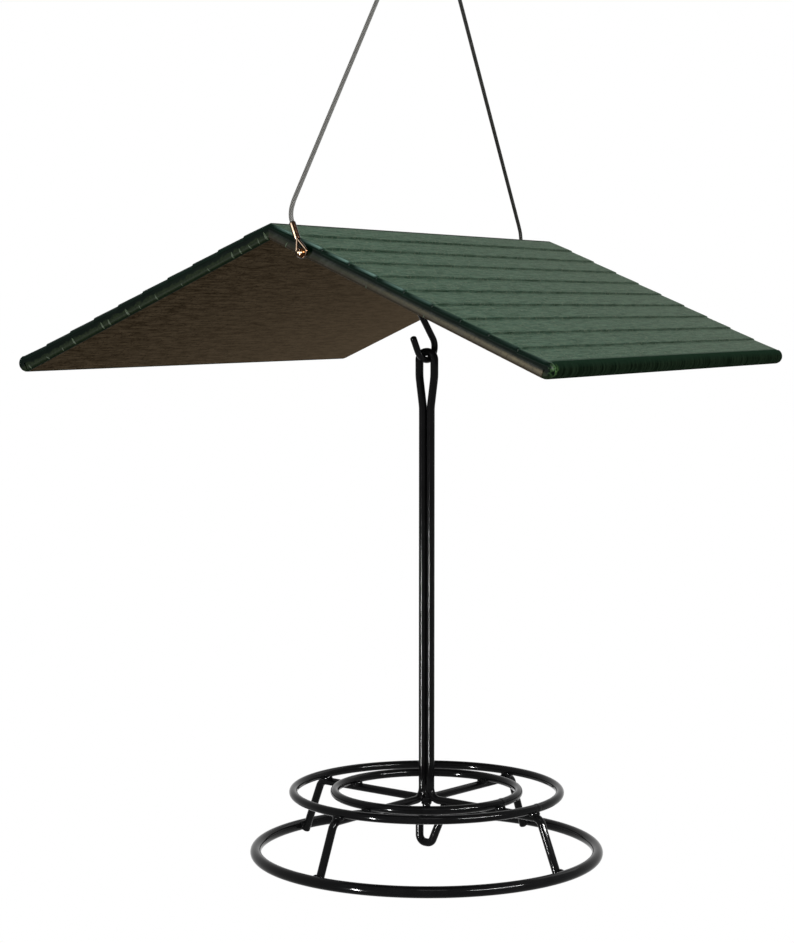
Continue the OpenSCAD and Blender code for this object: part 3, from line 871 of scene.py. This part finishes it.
# each nick: how far from the ridge, length, half width and lean in degrees
greenEndNicks = [(1.6, 5.6, 0.42, 6), (6.2, 3.0, 0.2, -8), (12.3, 2.6, 0.24, 14), (18.6, 3.4, 0.26, 2),
                 (24, 3.6, 0.36, -5), (41, 2.2, 0.16, 10), (60, 1.8, 0.14, 0), (77.8, 3.2, 0.28, 6),
                 (90, 2.2, 0.16, -6), (98.6, 4.2, 0.44, 12), (111.8, 3.6, 0.3, 2), (116.7, 4.2, 0.32, 8),
                 (138, 4.2, 0.34, 10), (146.8, 2.2, 0.18, -4), (158, 1.7, 0.24, 30), (171.5, 2.6, 0.24, 12)]
tanEndNicks = [(11, 3.2, 0.26, 10), (64, 1.6, 0.16, -14), (101, 1.8, 0.2, 10)]
nickShape = {
    "widen": 1.8, "longest": 4.6, "start": 0.35, "sink": 0.02, "sides": 8, "atRidge": 3, "ridgeX": 0.9,
    "widths": (0.3, 0.75, 0.95, 1.0, 0.9, 0.8, 0.7, 0.5, 0.22)}


def nickPath(u, length, lean):
    # follows the rounded end of the board from its lower edge upward
    radius = roof["boardRound"]
    out = roof["length"] / 2 - radius
    last = len(nickShape["widths"]) - 1
    path = []
    for k in range(last + 1):
        up = nickShape["start"] + length * k / last
        turn = math.acos(max(0.0, 1 - up / radius)) if up < radius else math.pi / 2
        y = out + radius * math.sin(turn) - nickShape["sink"]
        path.append(onPanel(u + (up - length / 2) * math.tan(math.radians(lean)), underV + up, -y))
    return path


def makeNicks(name, turn, nicks, flip):
    bm = bmesh.new()
    for away, length, half, lean in nicks:
        u = away + uAt(0, underV) if away > nickShape["atRidge"] else uAt(nickShape["ridgeX"], underV)
        path = nickPath(u, min(length, nickShape["longest"]), lean)
        if flip:
            path = [Vector((p.x, -p.y, p.z)) for p in path]
        radius = half * nickShape["widen"] * mm
        radii = [radius * share for share in nickShape["widths"]]
        sweepWire(bm, path, radius, nickShape["sides"], radii=radii)
    move(bm, turn)
    addPiece(name, bm, "roof", [paleNick], sharp=60)


makeNicks("edgeNicksLeft", halfTurn, greenEndNicks, True)
makeNicks("edgeNicksRight", Matrix(), tanEndNicks, False)
print("nicks made")


# ridge bracket and eye

bracket = {
    "length": 80, "leg": 28, "crestHalf": 8, "plate": 2, "bendRound": 3.0, "bendWithin": 12,
    "edgeRound": 0.35}
crestZ = onPanel(uAt(bracket["crestHalf"], underV), underV).z / mm
eyeOfRidge = {"wire": 4, "bore": 12, "drop": 18, "peenWide": 6.4, "overlap": 0.4}
# the peened head: how high over the plate, and how wide as a share
peenShape = [(0.05, 1.0), (0.35, 1.0), (0.75, 0.93), (1.05, 0.72), (1.2, 0.3)]
ridgeEyeZ = crestZ - bracket["plate"] - eyeOfRidge["drop"]
ridgeEyeRadius = (eyeOfRidge["bore"] + eyeOfRidge["wire"]) / 2


def bevel(bm, edges, offset, segments):
    bmesh.ops.bevel(bm, geom=edges, offset=offset * mm, segments=segments, profile=0.5, affect="EDGES",
                    material=-1)


def makeBracket():
    bendU = uAt(bracket["crestHalf"], underV)
    lowV = underV - bracket["plate"]
    lowBendU = (roof["ridgeZ"] + lowV * math.cos(slope) - crestZ + bracket["plate"]) / math.sin(slope)
    side = [point(bracket["crestHalf"], 0, crestZ), onPanel(bendU + bracket["leg"], underV),
            onPanel(bendU + bracket["leg"], lowV), onPanel(lowBendU, lowV)]
    outline = side + [Vector((-p.x, p.y, p.z)) for p in reversed(side)]
    half = bracket["length"] / 2 * mm
    bm = bmesh.new()
    face = bm.faces.new([bm.verts.new(p - Vector((0, half, 0))) for p in outline])
    grown = vertsIn(bmesh.ops.extrude_face_region(bm, geom=[face]))
    bmesh.ops.translate(bm, verts=grown, vec=(0, 2 * half, 0))
    bends = [e for e in longEdges(bm, half) if abs(e.verts[0].co.x) < bracket["bendWithin"] * mm]
    bevel(bm, bends, bracket["bendRound"], 5)
    bm.normal_update()
    rims = [e for e in bm.edges if len(e.link_faces) == 2 and e.calc_face_angle(0) > math.radians(60)]
    bevel(bm, rims, bracket["edgeRound"], 2)
    addPiece("ridgeBracket", bm, "roof", [blackFitting], ("ridge_bracket",))


def makeRidgeEye():
    bm = bmesh.new()
    spinWire(bm, ridgeEyeRadius, eyeOfRidge["wire"], 24, 64)
    move(bm, moved(0, 0, ridgeEyeZ) @ turnBy(90, "X"))
    shank = [ridgeEyeZ + ridgeEyeRadius - eyeOfRidge["overlap"], crestZ + eyeOfRidge["overlap"]]
    sweepWire(bm, [point(0, 0, z) for z in shank], eyeOfRidge["wire"] / 2 * mm)
    top = eyeOfRidge["peenWide"] / 2 * mm
    sweepWire(bm, [point(0, 0, crestZ + z) for z, _ in peenShape], top, startTip=[(0.0, 0.9)],
              endTip=[(0.0, 0.5)], radii=[top * wide for _, wide in peenShape])
    addPiece("ridgeEye", bm, "roof", [blackFitting], ("ridge_eye",), sharp=50)


makeBracket()
makeRidgeEye()
print("ridge fittings made")


# S hook

sHook = {
    "wire": 4.1, "length": 45, "bowl": 8, "mouth": 11, "tip": 10, "turn": 80, "gap": 0.3, "mouthTurn": 30,
    "upperTurn": 20, "upperTip": 2}
hookAxisZ = ridgeEyeZ - ridgeEyeRadius
hookTopZ = hookAxisZ + eyeOfRidge["wire"] / 2 + sHook["gap"] + sHook["wire"] / 2
hookLowZ = hookTopZ + sHook["wire"] - sHook["length"]


def makeHook():
    r, mouth, turn, upperTurn = sHook["bowl"], sHook["mouth"], sHook["mouthTurn"], sHook["upperTurn"]
    low, high = hookLowZ + r, hookTopZ - r
    lean = math.degrees(math.asin(2 * r / (high - low)))
    up = Vector((0, 0, 1))
    sinTurn, cosTurn = math.sin(math.radians(turn)), math.cos(math.radians(turn))
    mouthStart = Vector((-mouth * cosTurn, 0, hookLowZ + mouth * (1 - sinTurn)))
    tip = mouthStart + sHook["tip"] * Vector((-sinTurn, 0, cosTurn))
    bends = (arcCorners(Vector((0, 0, hookLowZ + mouth)), mouth, 180 + turn, 270, 1, up)
             + arcCorners(Vector((0, 0, low)), r, -90, lean, 2, up)
             + arcCorners(Vector((0, 0, high)), r, 180 + lean, -upperTurn, 3, up))
    sinTip, cosTip = math.sin(math.radians(upperTurn)), math.cos(math.radians(upperTurn))
    past = sHook["upperTip"]
    upperTip = Vector((r * cosTip - past * sinTip, 0, high - r * sinTip - past * cosTip))
    radii = [mouth * bendShare * mm] + [r * bendShare * mm] * (len(bends) - 1)
    path = bentPath([c * mm for c in [tip] + bends + [upperTip]], radii, 6)
    bm = bmesh.new()
    sweepWire(bm, [turnBy(sHook["turn"]) @ p for p in path], sHook["wire"] / 2 * mm, 24, roundTip, roundTip)
    addPiece("sHook", bm, "hook", [blackCoat], ("s_hook",), sharp=60)


makeHook()
print("hook made")


# post, tray and base

tray = {
    "wire": 5, "postGap": 0.2, "postHigh": 277, "loopWide": 5, "loopSide": 10, "loopClose": 19,
    "loopBend": 30, "footBend": 7, "postTurn": 2, "outerRing": 82.6, "innerRing": 57, "ringWire": 5.3,
    "baseRing": 106, "baseWire": 6.9, "legHigh": 32, "legBendAt": 87, "legBend": 6, "hubBend": 8,
    "spokeTurn": -13, "sink": 0.25, "sides": 26}
postTopZ = hookLowZ + sHook["wire"] / 2 + sHook["gap"] + tray["wire"] / 2
spokeZ = postTopZ - tray["postHigh"]
baseZ = spokeZ - tray["legHigh"]
ringZ = spokeZ + (tray["wire"] + tray["ringWire"]) / 2 - tray["sink"]
postHalf = (tray["wire"] + tray["postGap"]) / 2
loopHalf = (tray["loopWide"] + tray["wire"]) / 2
legAcross = tray["baseRing"] - tray["legBendAt"]
legTouch = (tray["baseWire"] + tray["wire"]) / 2 - tray["sink"]
legLean = (math.acos(legTouch / math.hypot(legAcross, tray["legHigh"]))
           - math.atan2(tray["legHigh"], legAcross))
footDrop = tray["legHigh"] + tray["baseWire"] / 2 - tray["wire"] / 2 * math.sin(legLean)
footRadius = tray["legBendAt"] + footDrop * math.tan(legLean)
spokes = [tray["spokeTurn"] + quarter for quarter in (0, 90, 180, -90)]


def legPoints(turn):
    # the leg's foot and its bend
    return [turnedPoint(turn, footRadius, spokeZ - footDrop), turnedPoint(turn, tray["legBendAt"], spokeZ)]


def makeTrayWire(name, corners, bends, stepDegrees, node):
    path = bentPath(corners, [bend * mm for bend in bends], stepDegrees)
    bm = bmesh.new()
    sweepWire(bm, path, tray["wire"] / 2 * mm, tray["sides"])
    addPiece(name, bm, "tray", [blackCoat], (node,), sharp=60)


def makePostWire():
    shoulder = postTopZ - loopHalf - tray["loopSide"]
    half = [(postHalf, spokeZ), (postHalf, shoulder - tray["loopClose"]), (loopHalf, shoulder),
            (loopHalf, postTopZ)]
    rise = [turnedPoint(tray["postTurn"], -across, z) for across, z in half]
    fall = [turnedPoint(tray["postTurn"], across, z) for across, z in reversed(half)]
    bends = [tray["legBend"], tray["footBend"], tray["loopBend"], tray["loopBend"], loopHalf * bendShare]
    makeTrayWire("postWire", legPoints(spokes[3]) + rise + fall + legPoints(spokes[0])[::-1],
                 bends + bends[::-1], 6, "post_wire")


def makeRearWire():
    corners = legPoints(spokes[2]) + [point(0, 0, spokeZ)] + legPoints(spokes[1])[::-1]
    bends = [tray["legBend"], tray["hubBend"], tray["legBend"]]
    makeTrayWire("rearLegWire", corners, bends, 6, "rear_leg_wire")


# the bead of a butt weld stands a little proud round a fine groove: heights and widths in millimetres
buttWeld = {"high": 0.3, "wide": 0.9, "groove": 0.22, "grooveWide": 0.3, "within": 3, "cuts": 5}


def makeRing(name, radius, wire, z, seam, steps, node):
    bm = bmesh.new()
    spinWire(bm, radius, wire, tray["sides"], steps)
    # only the edges that run along the ring, near the weld, are cut up
    near = [e for e in bm.edges
            if abs(turnOf(e.verts[0].co + e.verts[1].co)) < math.radians(buttWeld["within"])
            and abs(turnOf(e.verts[0].co) - turnOf(e.verts[1].co)) > 0.01]
    bmesh.ops.subdivide_edges(bm, edges=near, cuts=buttWeld["cuts"])
    for vert in bm.verts:
        turn = turnOf(vert.co)
        swell = (buttWeld["high"] * math.exp(-(turn * radius / buttWeld["wide"]) ** 2)
                 - buttWeld["groove"] * math.exp(-(turn * radius / buttWeld["grooveWide"]) ** 2))
        centre = Vector((math.cos(turn), math.sin(turn), 0)) * radius * mm
        vert.co = centre + (vert.co - centre) * (1 + swell / (wire / 2))
        # nothing stands out under the ring
        vert.co.z = max(vert.co.z, -wire / 2 * mm)
    move(bm, moved(0, 0, z) @ turnBy(seam))
    addPiece(name, bm, "tray", [blackCoat], (node,), sharp=60)


ringList = [{"name": "outerTrayRing", "node": "outer_tray_ring", "radius": tray["outerRing"],
             "wire": tray["ringWire"], "z": ringZ, "seam": -11, "steps": 160},
            {"name": "innerTrayRing", "node": "inner_tray_ring", "radius": tray["innerRing"],
             "wire": tray["ringWire"], "z": ringZ, "seam": -11.5, "steps": 128},
            {"name": "baseRing", "node": "base_ring", "radius": tray["baseRing"],
             "wire": tray["baseWire"], "z": baseZ, "seam": 118, "steps": 192}]
bottomLoop = {
    "high": 27.6, "radius": 4.4, "reach": 12, "armLean": 66, "nearSide": -0.9, "drop": 4, "kinkAt": 11,
    "kinkBend": 6}


def makeBottomLoop():
    # the loop's arm ends under the front right spoke
    outer = (turnedPoint(tray["postTurn"], postHalf, 0)
             + turnedPoint(tray["spokeTurn"], bottomLoop["reach"], 0))
    reach, aim = outer.length / mm, math.degrees(turnOf(outer))
    lowZ = spokeZ - bottomLoop["high"]
    nearZ = spokeZ - tray["wire"] / 2 + tray["sink"]
    r, lean = bottomLoop["radius"], math.radians(bottomLoop["armLean"])
    endZ = nearZ - tray["wire"] / 2 * math.cos(lean)
    nearX = bottomLoop["nearSide"] - r
    corners = [(0, nearZ), (0, nearZ - bottomLoop["drop"]), (nearX, nearZ - bottomLoop["kinkAt"]),
               (nearX, lowZ), (reach - (endZ - lowZ) / math.tan(lean), lowZ), (reach, endZ)]
    corners = [turnedPoint(aim, x, z) for x, z in corners]
    bends = [bottomLoop["kinkBend"], bottomLoop["kinkBend"], r, r]
    makeTrayWire("bottomLoop", corners, bends, 7, "bottom_loop")
    return corners[-1]


makePostWire()
makeRearWire()
for ring in ringList:
    makeRing(**ring)
loopArmEnd = makeBottomLoop()
print("tray made")


# weld beads

# each size: the half length along the first wire, across it and up
welds = {
    "crossing": (3.8, 3.4, 2.8), "foot": (3.2, 3.5, 3.2), "hub": (4.6, 3.6, 2.6), "loop": (3.4, 3.2, 1.9),
    "web": (4.3, 2.3, 6.2)}
weldSet = {
    "ripple": 0.07, "crossingSink": 0.35, "footIn": 0.2, "footRise": 0.4, "hubBack": 0.4, "hubSink": 0.2,
    "webRise": 3.4, "armRise": 0.3}


def addWeld(bm, at, turn, size, tilt=0.0):
    verts = bmesh.ops.create_icosphere(bm, subdivisions=4, radius=1)["verts"]
    for vert in verts:
        ripple = (math.sin(vert.co.x * 4.1 + at.x * 900) * math.sin(vert.co.y * 3.3 + at.y * 700)
                  * math.cos(vert.co.z * 2.7))
        vert.co *= 1 + weldSet["ripple"] * ripple
    place = Matrix.Translation(at) @ turnBy(turn) @ turnBy(tilt, "Y")
    bmesh.ops.transform(bm, verts=verts, matrix=place @ Matrix.Diagonal([s * mm for s in size] + [1]))


def makeWelds():
    bm = bmesh.new()
    touchZ = spokeZ + tray["wire"] / 2 - weldSet["crossingSink"]
    inside = tray["baseRing"] - tray["baseWire"] / 2 - weldSet["footIn"]
    for turn in spokes:
        for radius in (tray["outerRing"], tray["innerRing"]):
            addWeld(bm, turnedPoint(turn, radius, touchZ), turn, welds["crossing"])
        addWeld(bm, turnedPoint(turn, inside, baseZ + weldSet["footRise"]), turn, welds["foot"],
                -math.degrees(legLean))
    hub = point(0, weldSet["hubBack"], spokeZ - weldSet["hubSink"])
    addWeld(bm, hub, tray["spokeTurn"] + 45, welds["hub"])
    addWeld(bm, point(0, 0, spokeZ + weldSet["webRise"]), tray["postTurn"], welds["web"])
    addWeld(bm, point(0, 0, spokeZ - tray["wire"] / 2), 0, welds["loop"])
    addWeld(bm, loopArmEnd + point(0, 0, weldSet["armRise"]), tray["spokeTurn"], welds["loop"])
    addPiece("weldBeads", bm, "tray", [blackCoat], sharp=80)


makeWelds()
print("welds made")


# CAD nodes that stay

for nodeName, material in (("bracket_screws", blackFitting), ("cable_screw_front", screwBrass),
                           ("cable_screw_back", screwBrass)):
    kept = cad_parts[nodeName]
    kept.data.materials.clear()
    kept.data.materials.append(material)
print("screws dressed")


# stage and light

# the floor lies wholly under the photo's frame, and so shows only in other views
stageLook = {
    "floorZ": -1.25, "floorRadius": 1.5, "floorColor": (0.8, 0.8, 0.8, 1), "floorLift": 0.34,
    "roughness": 0.9, "specular": 0.1, "white": (1, 1, 1, 1), "ambient": 0.6}
lampList = [{"name": "keyLamp", "at": (0.9, -1.5, 1.5), "size": (0.7, 0.7), "power": 9},
            {"name": "leftStrip", "at": (-0.62, -1.9, -0.95), "size": (0.13, 0.75), "power": 230,
             "glossOnly": True},
            {"name": "rightPatch", "at": (1.9, -0.6, 0.3), "size": (1.3, 0.1), "power": 210,
             "glossOnly": True},
            {"name": "rearLamp", "at": (0.6, 2.0, 1.3), "size": (1.0, 1.0), "power": 5}]
lampAim = point(0, 0, -320)


def seenRays(graph):
    # camera, glossy and transmission rays all see the background as it is
    rays = graph.make("LightPath")
    both = graph.math("MAXIMUM", rays["Is Camera Ray"], rays["Is Glossy Ray"])
    return graph.math("MAXIMUM", both, rays["Is Transmission Ray"])


def makeFloor():
    bm = bmesh.new()
    bmesh.ops.create_circle(bm, cap_ends=True, segments=96, radius=stageLook["floorRadius"])
    bmesh.ops.translate(bm, verts=bm.verts[:], vec=(0, 0, stageLook["floorZ"]))
    mesh = bpy.data.meshes.new("floor")
    bm.to_mesh(mesh)
    bm.free()
    floor = bpy.data.objects.new("floor", mesh)
    bpy.context.collection.objects.link(floor)
    material, graph = newMaterial("paleFloor")
    shader = graph.nodes["Principled BSDF"].inputs
    shader["Base Color"].default_value = stageLook["floorColor"]
    shader["Roughness"].default_value = stageLook["roughness"]
    shader["Specular IOR Level"].default_value = stageLook["specular"]
    shader["Emission Color"].default_value = stageLook["white"]
    graph.feed(shader["Emission Strength"], graph.times(seenRays(graph), stageLook["floorLift"]))
    mesh.materials.append(material)


def makeWorld():
    world = bpy.data.worlds.new("paleRoom")
    bpy.context.scene.world = world
    world.use_nodes = True
    graph = Graph(world.node_tree)
    background = graph.nodes["Background"].inputs
    background["Color"].default_value = stageLook["white"]
    graph.feed(background["Strength"], graph.spread(seenRays(graph), 0, 1, stageLook["ambient"], 1.0))


def makeLamps():
    for lamp in lampList:
        data = bpy.data.lights.new(lamp["name"], "AREA")
        data.shape = "RECTANGLE"
        data.size, data.size_y = lamp["size"]
        data.energy = lamp["power"]
        light = bpy.data.objects.new(lamp["name"], data)
        bpy.context.collection.objects.link(light)
        light.visible_diffuse = not lamp.get("glossOnly", False)
        light.location = lamp["at"]
        light.rotation_euler = (lampAim - light.location).to_track_quat("-Z", "Y").to_euler()


makeFloor()
makeWorld()
makeLamps()
bpy.context.scene.view_settings.view_transform = "Standard"
print("stage ready")
